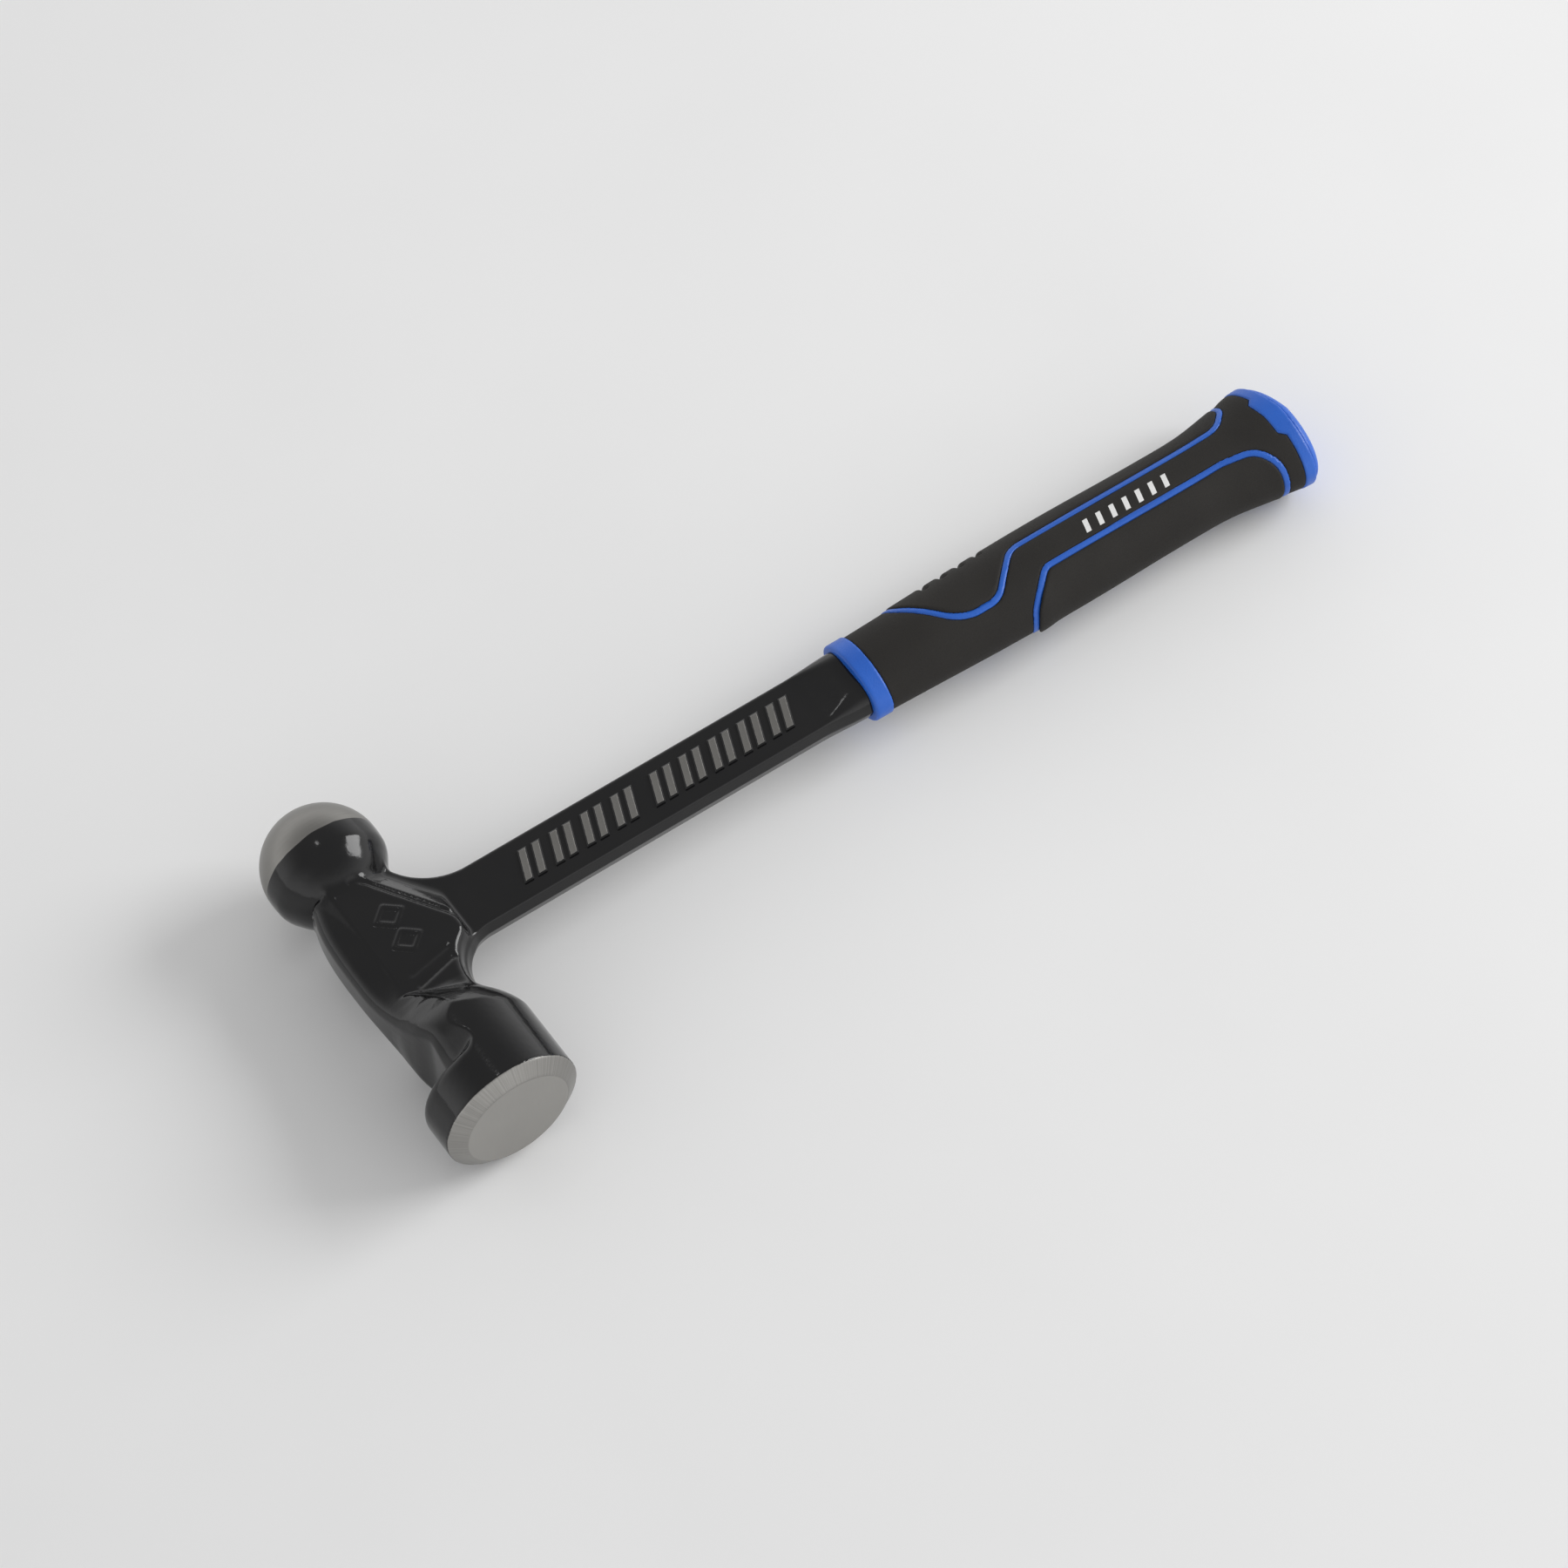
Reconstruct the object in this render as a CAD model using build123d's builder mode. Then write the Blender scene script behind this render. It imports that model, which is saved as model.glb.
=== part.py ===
"""Ball peen hammer, 32 oz class: one steel forging with a moulded two-colour grip.

Frame: +Y runs along the head from the striking face to the ball, +X runs along the
handle from the head to the butt, +Z is square to both. The origin is the middle of the
striking face, and the forging's parting plane is Z = 0, so the two sides match.
"""
from build123d import *
from math import atan2, cos, degrees, radians, sin, sqrt, tan
import os

# ---- driving dimensions, millimetres ----
head_length = 122.5  # striking face to ball tip
barrel_radius = 21.7
face_radius = 16.9  # flat ground disc of the striking face
face_chamfer_length = 3.3  # ground chamfer round the face, along the head
ball_radius = 18.7
handle_y = 67.7  # handle centre line, measured from the striking face
cut_margin = 1.0  # cuts run this far beyond what they cut
shank_half_width = 11.1
shank_half_thickness = 4.0
cheek_half_thickness = 10.2  # thick middle of the head
collar_x = 160.5  # front of the grip's blue collar
sleeve_x = 166.5  # front of the black sleeve
flange_x = 314.3  # front of the blue butt flange
cap_x = 318.0  # front of the butt cap
butt_x = 322.0  # end of the hammer

# ---- forging details ----
shoulder_y = 16.3  # step behind the barrel on the crown side
channel_radius = 5.8  # half width of the channel behind that step
channel_y = shoulder_y + channel_radius
channel_end_x = -6.2  # centre of the channel's round end
channel_floor = (15.3, 19.3)  # core left in its floor: half width and half height
crown_line_x = 10.0  # the barrel's round stops here on the crown side
crown_line_length = 40.0
barrel_end_y = 26.2  # where the barrel starts to round off towards the handle
barrel_round_depth = 15.0  # the rounded rear is a quarter of an ellipse: across the head
barrel_round_length = 18.0  # and along it
barrel_round_angle = 85.0
ball_join = 8.2  # the neck leaves the ball this far behind the ball's centre
neck_end_y = 78.0
crown_land = 3.0  # half height of the crown's narrow outer face
crown_facet = (-13.7, 7.0)  # ridge between the two slopes of the crown, x and z
cheek_edge_x = -6.5  # crown side edge of the flat cheek
crown_outline = ((-11.0, 26.5), (-14.8, 12.5), (-15.7, -8.0), (-13.9, -26.0), (-10.0, -41.0))
cheek_end_x = 11.0  # the cheek's end beside the ball's neck
upper_neck_radius = 20.0  # curve between ball and shank
upper_neck_centre = (32.5, 31.1)
lower_neck_radius = 14.0  # curve between barrel and shank
lower_neck_centre = (28.0, -25.1)
web_inner_x = -5.0  # the thin web runs this far into the cheek
ramp_width = 6.6  # slope from the thick cheek down to the shank
ramp_clearance = 12.0  # beyond its foot the cheek is no thicker than the shank
shank_draft = 15.0  # slope of the shank's edges, degrees
flare_x = 143.0  # the shank starts to thicken towards the grip
flare_half_width = 12.2
flare_half_thickness = 6.8
mark_height = 0.8  # raised marks on the shank
mark_length = 10.5
mark_width = 2.9
mark_gap = 1.7  # between the two bars of a pair
mark_slant = 4.0
mark_places = (49.0, 59.8, 70.5, 81.0, 94.6, 104.8, 115.2, 125.4, 135.6)
tang_end_x = 300.0
tang_half_width = 9.0
tang_half_thickness = 3.2
tang_hole_radius = 4.0
tang_hole_places = (200.0, 240.0, 280.0)

# ---- grip details ----
skin = 2.0  # wall of the soft black skins over the blue core
panel_rise = 0.5  # the two side panels stand this proud of the sleeve
line_width = 1.9  # raised blue lines beside the panels
line_rise = 0.2
collar_half_width = 14.3
collar_half_thickness = 9.7
collar_round = 1.2
grip_depth = 30.0  # more than the grip measures, for cuts right through it
pad_x = 312.2  # front of the flange's pad on each face
pad_half_width = 6.5
pad_slope = 2.0
cap_half_width = 18.6
cap_half_thickness = 13.0
cap_steps = 5  # sections through the cap's dome
cap_turn = 82.0  # the dome's outline turns this far before its small flat middle
rib_first_x = 195.4
rib_pitch = 6.6
rib_groove_count = 4
rib_start_y = 8.0
rib_half_height = 8.5
rib_groove_width = 1.6
rib_groove_depth = 1.0
# Half width and half thickness of the sleeve at places along the handle.
grip_stations = (
    (collar_x, 13.6, 9.0),
    (182.0, 14.0, 10.6),
    (206.0, 14.8, 11.3),
    (235.0, 15.2, 11.8),
    (275.0, 14.7, 11.4),
    (290.0, 15.0, 11.5),
    (302.0, 16.8, 12.3),
    (flange_x, 19.0, 13.4),
    (cap_x, 19.2, 13.6),
)

os.makedirs("parts", exist_ok=True)

# Plan sketches are drawn about the point where the handle's centre line crosses the
# head's axis, so their y is measured from the handle's centre line.
plan = Plane(origin=(0, handle_y, 0))


def across(x):
    """A plane across the handle at x: its own x runs along +Y, its own y along +Z."""
    return Plane(origin=(x, handle_y, 0), x_dir=(0, 1, 0), z_dir=(1, 0, 0))


# ======================================================================
# forged_steel_body: ball, neck, cheek, barrel, shank and tang in one forging
# ======================================================================
ball_centre_y = head_length - ball_radius
neck_start = (sqrt(ball_radius**2 - ball_join**2), ball_centre_y - ball_join)
ball_sweep = 90 + degrees(atan2(ball_join, neck_start[0]))

# The foot of the ramp runs straight across the web, from beside the ball's neck to
# beside the barrel. The cheek's own edge is parallel to it, ramp_width nearer the crown.
ramp_foot_start = Vector(11.0, 21.5)
ramp_foot_end = Vector(32.5, -11.1)
ramp_along = (ramp_foot_end - ramp_foot_start).normalized()
ramp_across = Vector(-ramp_along.Y, ramp_along.X)

# The web's outline beside the head: ends of its two neck curves.
web_x = lower_neck_centre[0] - lower_neck_radius
lower_neck_start = (web_x, lower_neck_centre[1])
lower_neck_end = (lower_neck_centre[0], lower_neck_centre[1] + lower_neck_radius)
upper_neck_start = (upper_neck_centre[0], upper_neck_centre[1] - upper_neck_radius)
upper_neck_end = (upper_neck_centre[0] - upper_neck_radius, upper_neck_centre[1])

with BuildPart() as turned_ends:
    # Barrel: striking face, ground chamfer, cylinder and rounded rear.
    with BuildSketch(Plane.XY):
        with BuildLine():
            Polyline(
                (0, 0),
                (face_radius, 0),
                (barrel_radius, face_chamfer_length),
                (barrel_radius, barrel_end_y),
            )
            barrel_round = EllipticalCenterArc(
                (barrel_radius - barrel_round_depth, barrel_end_y),
                barrel_round_depth,
                barrel_round_length,
                start_angle=0,
                arc_size=barrel_round_angle,
            )
            Polyline(barrel_round @ 1, (0, (barrel_round @ 1).Y), (0, 0))
        make_face()
    revolve(axis=Axis.Y)

    # Channel behind the barrel's rim on the crown side. It runs in from the crown on
    # both sides and ends in a round near the head's axis; a core stays in its floor.
    cut_height = barrel_radius + cut_margin
    with BuildSketch(plan.offset(-cut_height)):
        with Locations((channel_end_x, channel_y - handle_y)):
            Circle(channel_radius)
            Rectangle(
                cut_height,
                2 * channel_radius,
                align=(Align.MAX, Align.CENTER),
            )
    extrude(amount=2 * cut_height, mode=Mode.SUBTRACT)
    with BuildSketch(Plane.XZ.offset(-shoulder_y)):
        Ellipse(*channel_floor)
    extrude(amount=-2 * channel_radius)

    # Crown side of the barrel's round, cut back to the line of the crown.
    with BuildSketch(plan.offset(-cut_height)):
        with Locations((-crown_line_x, channel_y - handle_y)):
            Rectangle(barrel_radius, crown_line_length, align=(Align.MAX, Align.MIN))
    extrude(amount=2 * cut_height, mode=Mode.SUBTRACT)

    # Ball and the neck behind it.
    with BuildSketch(Plane.XY):
        with BuildLine():
            ball_arc = CenterArc((0, ball_centre_y), ball_radius, 90, -ball_sweep)
            neck = Spline(ball_arc @ 1, (13.2, 91.0), (9.6, 84.5), (8.4, neck_end_y))
            Polyline(neck @ 1, (0, neck_end_y), (0, head_length))
        make_face()
    revolve(axis=Axis.Y)

# Cheek: the thick middle of the head, from the crown to the foot of the ramp.
with BuildPart() as cheek:
    with BuildSketch(plan.offset(-cheek_half_thickness)):
        with BuildLine():
            crown_line = Spline(*crown_outline)
            crown_end = (-crown_line_x, shoulder_y - handle_y)
            Line(crown_line @ 1, crown_end)
            Line(crown_end, (web_x, shoulder_y - handle_y))
            Line((web_x, shoulder_y - handle_y), lower_neck_start)
            lower_neck = RadiusArc(lower_neck_start, lower_neck_end, lower_neck_radius)
            Line(lower_neck @ 1, ramp_foot_end)
            Line(ramp_foot_end, ramp_foot_start)
            neck_side = Line(ramp_foot_start, (cheek_end_x, (crown_line @ 0).Y))
            Line(neck_side @ 1, crown_line @ 0)
        make_face()
    extrude(amount=2 * cheek_half_thickness)

    # Section across the head: flat cheeks, then two slopes each side to the crown.
    crown_x, crown_z = crown_facet
    section_reach = 40.0  # beyond the cheek on the handle side
    with BuildSketch(Plane(origin=(0, 0, 0), x_dir=(1, 0, 0), z_dir=(0, -1, 0))):
        with BuildLine():
            Polyline(
                (section_reach, -cheek_half_thickness),
                (section_reach, cheek_half_thickness),
                (cheek_edge_x, cheek_half_thickness),
                (crown_x, crown_z),
                (-barrel_radius, crown_land),
                (-barrel_radius, -crown_land),
                (crown_x, -crown_z),
                (cheek_edge_x, -cheek_half_thickness),
                close=True,
            )
        make_face()
    extrude(amount=-head_length, mode=Mode.INTERSECT)

    # Ramps from the cheeks down to the shank, one on each side.
    ramp_plane = Plane(
        origin=(ramp_foot_start.X, handle_y + ramp_foot_start.Y, 0),
        x_dir=(ramp_across.X, ramp_across.Y, 0),
        z_dir=(ramp_along.X, ramp_along.Y, 0),
    )
    ramp_cut_start = -20.0
    ramp_cut_length = 90.0
    ramp_top = cheek_half_thickness + cut_margin
    with BuildSketch(ramp_plane.offset(ramp_cut_start)):
        for side in (1, -1):
            with BuildLine():
                Polyline(
                    (ramp_clearance, side * shank_half_thickness),
                    (ramp_clearance, side * ramp_top),
                    (-ramp_width, side * ramp_top),
                    (-ramp_width, side * cheek_half_thickness),
                    (0, side * shank_half_thickness),
                    close=True,
                )
            make_face()
    extrude(amount=ramp_cut_length, mode=Mode.SUBTRACT)

# Shank: drafted blank with the two curved necks. It ends inside the flare.
shank_end_x = flare_x + 3
with BuildPart() as shank:
    with BuildSketch(plan):
        with BuildLine():
            Line(upper_neck_end, (web_inner_x, upper_neck_end[1]))
            Line((web_inner_x, upper_neck_end[1]), (web_inner_x, lower_neck_start[1]))
            Line((web_inner_x, lower_neck_start[1]), lower_neck_start)
            RadiusArc(lower_neck_start, lower_neck_end, lower_neck_radius)
            Line(lower_neck_end, (shank_end_x, -shank_half_width))
            Line((shank_end_x, -shank_half_width), (shank_end_x, shank_half_width))
            Line((shank_end_x, shank_half_width), upper_neck_start)
            RadiusArc(upper_neck_start, upper_neck_end, upper_neck_radius)
        make_face()
    extrude(amount=shank_half_thickness, taper=shank_draft)
    mirror(about=Plane.XY)


def drafted_outline(half_width, half_thickness):
    """Corners of a section across the shank, widest at the parting plane."""
    edge = half_width - half_thickness * tan(radians(shank_draft))
    return (
        (half_width, 0),
        (edge, half_thickness),
        (-edge, half_thickness),
        (-half_width, 0),
        (-edge, -half_thickness),
        (edge, -half_thickness),
    )


with BuildPart() as forged_steel_body:
    add(turned_ends.part)
    add(cheek.part)
    add(shank.part)

    # Flare: the shank thickens just before the grip.
    with BuildSketch(across(flare_x)):
        with BuildLine():
            Polyline(*drafted_outline(shank_half_width, shank_half_thickness), close=True)
        make_face()
    with BuildSketch(across(collar_x)):
        with BuildLine():
            Polyline(*drafted_outline(flare_half_width, flare_half_thickness), close=True)
        make_face()
    loft()

    # Tang: runs on inside the grip, with holes that key the moulding.
    with BuildSketch(across(collar_x)):
        Rectangle(2 * tang_half_width, 2 * tang_half_thickness)
    extrude(amount=tang_end_x - collar_x)
    with BuildSketch(plan.offset(-tang_half_thickness)):
        with Locations(*((x, 0) for x in tang_hole_places)):
            Circle(tang_hole_radius)
    extrude(amount=2 * tang_half_thickness, mode=Mode.SUBTRACT)

    # Pairs of plain slanted bars stand on each side of the shank, in two groups.
    bar_places = [
        place + side * (mark_width + mark_gap) / 2
        for place in mark_places
        for side in (-1, 1)
    ]
    for side in (1, -1):
        with BuildSketch(plan.offset(side * shank_half_thickness)):
            for x in bar_places:
                with BuildLine():
                    Polyline(
                        (x - mark_width / 2 - mark_slant / 2, -mark_length / 2),
                        (x + mark_width / 2 - mark_slant / 2, -mark_length / 2),
                        (x + mark_width / 2 + mark_slant / 2, mark_length / 2),
                        (x - mark_width / 2 + mark_slant / 2, mark_length / 2),
                        close=True,
                    )
                make_face()
        extrude(amount=side * mark_height)

forged_steel_body.part.label = "forged_steel_body"


# ======================================================================
# Grip: a hard blue core moulded on the tang, with soft black skins over it
# ======================================================================
def grip_form(rise):
    """The sleeve's outer form, grown outwards by rise."""
    with BuildPart() as form:
        for x, half_width, half_thickness in grip_stations:
            with BuildSketch(across(x)):
                Ellipse(half_width + rise, half_thickness + rise)
        loft()
    return form.part


def through_grip(region, grow=0.0):
    """A plan region, grown outwards by grow and carried right through the grip."""
    with BuildPart() as zone:
        with BuildSketch(plan):
            add(region.sketch_local)
            if grow:
                offset(amount=grow)
        extrude(amount=grip_depth, both=True)
    return zone.part


# Plan regions of the two side panels. Their inner edges are the middles of the blue
# lines; the other three sides lie outside the grip.
with BuildSketch(plan) as back_region:
    with BuildLine():
        edge = FilletPolyline(
            (180.0, grip_depth),
            (182.3, 10.5),
            (196.5, -6.3),
            (210.0, -6.4),
            (222.5, 6.1),
            (299.0, 6.1),
            (304.8, 12.0),
            (304.8, grip_depth),
            radius=(10, 14, 8, 8, 8, 5),
        )
        Line(edge @ 1, edge @ 0)
    make_face()

with BuildSketch(plan) as palm_region:
    with BuildLine():
        edge = FilletPolyline(
            (215.0, -grip_depth),
            (217.3, -14.5),
            (227.5, -5.4),
            (292.0, -5.2),
            (303.0, -7.2),
            (308.0, -14.0),
            (308.2, -grip_depth),
            radius=(6, 5, 20, 10, 10),
        )
        Line(edge @ 1, edge @ 0)
    make_face()

with BuildSketch(plan) as flange_region:
    with BuildLine():
        Polyline(
            (flange_x, -grip_depth),
            (flange_x, -pad_half_width - pad_slope),
            (pad_x, -pad_half_width),
            (pad_x, pad_half_width),
            (flange_x, pad_half_width + pad_slope),
            (flange_x, grip_depth),
            (cap_x, grip_depth),
            (cap_x, -grip_depth),
            close=True,
        )
    make_face()

core_form = grip_form(-skin)
line_form = grip_form(line_rise)
panel_form = grip_form(panel_rise)
half_line = line_width / 2

raised_lines = []
for region in (back_region, palm_region):
    with BuildPart() as raised_line:
        add(line_form)
        add(through_grip(region, half_line), mode=Mode.INTERSECT)
        add(through_grip(region, -half_line), mode=Mode.SUBTRACT)
    raised_lines.append(raised_line.part)

with BuildPart() as butt_flange:
    add(line_form)
    add(through_grip(flange_region), mode=Mode.INTERSECT)

# grip_core: core, raised lines, front collar and butt flange; the tang fills its slot.
with BuildPart() as grip_core:
    add(core_form)
    add(raised_lines)
    add(butt_flange.part)
    with BuildSketch(across(collar_x)):
        Ellipse(collar_half_width, collar_half_thickness)
    extrude(amount=sleeve_x - collar_x)
    fillet(edges().filter_by(GeomType.ELLIPSE).group_by(Axis.X)[0], radius=collar_round)
    with BuildSketch(across(collar_x)):
        Rectangle(2 * tang_half_width, 2 * tang_half_thickness)
    extrude(amount=tang_end_x - collar_x, mode=Mode.SUBTRACT)
    with BuildSketch(plan.offset(-tang_half_thickness)):
        with Locations(*((x, 0) for x in tang_hole_places)):
            Circle(tang_hole_radius)
    extrude(amount=2 * tang_half_thickness)
grip_core.part.label = "grip_core"

# grip_sleeve: front ring, the bands between the lines on both faces, and rear ring.
with BuildPart() as grip_sleeve:
    add(grip_form(0))
    add(core_form, mode=Mode.SUBTRACT)
    add(through_grip(back_region, half_line), mode=Mode.SUBTRACT)
    add(through_grip(palm_region, half_line), mode=Mode.SUBTRACT)
    add(through_grip(flange_region), mode=Mode.SUBTRACT)
    with BuildSketch(across(collar_x)):
        Rectangle(2 * grip_depth, 2 * grip_depth)
    extrude(amount=sleeve_x - collar_x, mode=Mode.SUBTRACT)
grip_sleeve.part.label = "grip_sleeve"

# The side panels stand proud of the sleeve. The back panel has thumb ribs on its edge.
with BuildPart() as rib_grooves:
    for step in range(rib_groove_count):
        x = rib_first_x + step * rib_pitch
        with Locations((x, handle_y + rib_start_y, 0)):
            Box(
                rib_groove_width,
                grip_depth,
                2 * rib_half_height,
                align=(Align.CENTER, Align.MIN, Align.CENTER),
            )
    add(panel_form, mode=Mode.INTERSECT)
    add(grip_form(panel_rise - rib_groove_depth), mode=Mode.SUBTRACT)

with BuildPart() as grip_back_panel:
    add(panel_form)
    add(through_grip(back_region, -half_line), mode=Mode.INTERSECT)
    add(core_form, mode=Mode.SUBTRACT)
    add(rib_grooves.part, mode=Mode.SUBTRACT)
grip_back_panel.part.label = "grip_back_panel"

with BuildPart() as grip_palm_panel:
    add(panel_form)
    add(through_grip(palm_region, -half_line), mode=Mode.INTERSECT)
    add(core_form, mode=Mode.SUBTRACT)
grip_palm_panel.part.label = "grip_palm_panel"

# butt_cap: a shallow dome that closes the end of the grip.
with BuildPart() as butt_cap:
    for step in range(cap_steps + 1):
        turn = radians(cap_turn * step / cap_steps)
        shrink = sqrt(cos(turn))
        with BuildSketch(across(cap_x + (butt_x - cap_x) * sin(turn) / sin(radians(cap_turn)))):
            Ellipse(cap_half_width * shrink, cap_half_thickness * shrink)
    loft()
butt_cap.part.label = "butt_cap"

for piece in (
    forged_steel_body,
    grip_core,
    grip_sleeve,
    grip_back_panel,
    grip_palm_panel,
    butt_cap,
):
    export_step(piece.part, f"parts/{piece.part.label}.step")
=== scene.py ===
"""Looks for the ball peen hammer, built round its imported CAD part.

The frame is the part's: +Y along the head from the striking face to the ball, +X along the
handle to the butt, +Z out of a cheek. Shapes are worked out in millimetres and the meshes
are in metres.
"""

from math import atan2, cos, pi, radians, sin, tan

import bpy
import numpy as np
from mathutils import Matrix, Vector


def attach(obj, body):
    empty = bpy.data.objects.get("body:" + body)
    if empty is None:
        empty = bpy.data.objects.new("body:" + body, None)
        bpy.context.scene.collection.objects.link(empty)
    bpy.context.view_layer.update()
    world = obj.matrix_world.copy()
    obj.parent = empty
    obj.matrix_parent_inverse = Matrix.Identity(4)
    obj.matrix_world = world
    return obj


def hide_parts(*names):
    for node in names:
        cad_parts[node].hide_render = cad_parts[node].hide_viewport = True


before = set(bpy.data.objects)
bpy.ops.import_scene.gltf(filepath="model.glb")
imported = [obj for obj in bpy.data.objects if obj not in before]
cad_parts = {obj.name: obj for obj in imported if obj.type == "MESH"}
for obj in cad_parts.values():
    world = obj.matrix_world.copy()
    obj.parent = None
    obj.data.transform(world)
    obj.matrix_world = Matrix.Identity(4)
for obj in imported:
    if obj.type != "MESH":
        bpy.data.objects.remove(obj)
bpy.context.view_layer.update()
scene = bpy.context.scene
scene.view_settings.view_transform = "Standard"
MM = 0.001

# ---- dimensions shared with the CAD part, millimetres ----
head_length = 122.5
barrel_radius = 21.7
face_radius = 16.9
face_chamfer_length = 3.3
ball_radius = 18.7
handle_y = 67.7
shank_half_width = 11.1
shank_half_thickness = 4.0
cheek_half_thickness = 10.2
collar_x = 160.5
sleeve_x = 166.5
flange_x = 314.3
cap_x = 318.0
butt_x = 322.0
flare_x = 143.0

# ======================================================================
# Camera
# ======================================================================
camera_azimuth = radians(-31.64)
camera_elevation = radians(56.34)
camera_roll = radians(-3.29)
camera_distance = 1.75
aim_right, aim_up = 0.11299, 0.04841

camera_data = bpy.data.cameras.new("camera")
camera_data.lens = 140
camera_data.sensor_width = 36
camera_data.clip_start = 0.1
camera_data.clip_end = 50
camera = bpy.data.objects.new("camera", camera_data)
scene.collection.objects.link(camera)
turn = (
    Matrix.Rotation(camera_azimuth, 3, "Z")
    @ Matrix.Rotation(pi / 2 - camera_elevation, 3, "X")
    @ Matrix.Rotation(camera_roll, 3, "Z")
)
head_crossing = Vector((0, handle_y * MM, 0))
camera.location = head_crossing + turn @ Vector((aim_right, aim_up, camera_distance))
camera.rotation_euler = turn.to_euler()
scene.camera = camera


# ======================================================================
# Signed-distance helpers
# ======================================================================
def join(a, b, r):
    """Union of two fields with a fillet of about r."""
    h = np.clip(0.5 + 0.5 * (b - a) / r, 0, 1)
    return b + (a - b) * h - r * h * (1 - h)


def meet(a, b, r):
    """Intersection of two fields with the edge rounded by about r."""
    return -join(-a, -b, r)


def smooth_table(points):
    """Samples of a smooth curve through (place, value) points, for np.interp."""
    place = np.array([p[0] for p in points], float)
    value = np.array([p[1] for p in points], float)
    steps = np.diff(value) / np.diff(place)
    slope = np.concatenate([[steps[0]], (steps[:-1] + steps[1:]) / 2, [steps[-1]]])
    flat = np.concatenate([[False], steps[:-1] * steps[1:] <= 0, [False]])
    slope[flat] = 0
    out_place, out_value = [], []
    for i in range(len(place) - 1):
        width = place[i + 1] - place[i]
        t = np.linspace(0, 1, 40, endpoint=False)
        h00 = 2 * t**3 - 3 * t**2 + 1
        h10 = t**3 - 2 * t**2 + t
        h01 = -2 * t**3 + 3 * t**2
        h11 = t**3 - t**2
        out_place.append(place[i] + t * width)
        out_value.append(
            h00 * value[i] + h10 * width * slope[i] + h01 * value[i + 1] + h11 * width * slope[i + 1]
        )
    out_place.append([place[-1]])
    out_value.append([value[-1]])
    return np.concatenate(out_place), np.concatenate(out_value)


def turned(r, y, table):
    """Field of a form turned about the head's axis, from its table of radius by y."""
    places, radii = table
    slopes = np.gradient(radii, places)
    slope = np.interp(y, places, slopes)
    return (r - np.interp(y, places, radii)) / np.sqrt(1 + slope**2)


def oval(u, w, half_u, half_w):
    """Near-distance to an ellipse."""
    k0 = np.sqrt((u / half_u) ** 2 + (w / half_w) ** 2) + 1e-6
    k1 = np.sqrt((u / half_u**2) ** 2 + (w / half_w**2) ** 2) + 1e-6
    return k0 * (k0 - 1) / k1


def line_distance(u, w, points):
    """Distance in plan to an open line of points."""
    best = None
    for (u0, w0), (u1, w1) in zip(points[:-1], points[1:]):
        du, dw = u1 - u0, w1 - w0
        t = np.clip(((u - u0) * du + (w - w0) * dw) / (du * du + dw * dw), 0, 1)
        d = (u - u0 - t * du) ** 2 + (w - w0 - t * dw) ** 2
        best = d if best is None else np.minimum(best, d)
    return np.sqrt(best)


def region_distance(u, w, points):
    """Signed distance in plan to a closed outline, negative inside."""
    closed = list(points) + [points[0]]
    inside = np.zeros(np.broadcast(u, w).shape, bool)
    for (u0, w0), (u1, w1) in zip(closed[:-1], closed[1:]):
        if w0 == w1:
            continue
        crosses = (w0 > w) != (w1 > w)
        at = u0 + (w - w0) * (u1 - u0) / (w1 - w0)
        inside ^= crosses & (u < at)
    d = line_distance(u, w, closed)
    return np.where(inside, -d, d)


def rounded(points, radii):
    """An open line of points with its inner corners rounded."""
    line = [points[0]]
    for before, corner, after, radius in zip(points[:-2], points[1:-1], points[2:], radii):
        corner, before, after = (np.array(p, float) for p in (corner, before, after))
        a = (before - corner) / np.linalg.norm(before - corner)
        b = (after - corner) / np.linalg.norm(after - corner)
        half = np.arccos(np.clip(a @ b, -1, 1)) / 2
        reach = radius / np.tan(half)
        centre = corner + (a + b) / np.linalg.norm(a + b) * radius / np.sin(half)
        start = corner + a * reach - centre
        end = corner + b * reach - centre
        sweep = atan2(start[0] * end[1] - start[1] * end[0], start @ end)
        for share in np.linspace(0, 1, 9):
            c, s = cos(sweep * share), sin(sweep * share)
            line.append(
                (
                    float(centre[0] + c * start[0] - s * start[1]),
                    float(centre[1] + s * start[0] + c * start[1]),
                )
            )
    line.append(points[-1])
    return line


CORNERS = [(i, j, k) for i in (0, 1) for j in (0, 1) for k in (0, 1)]


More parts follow.
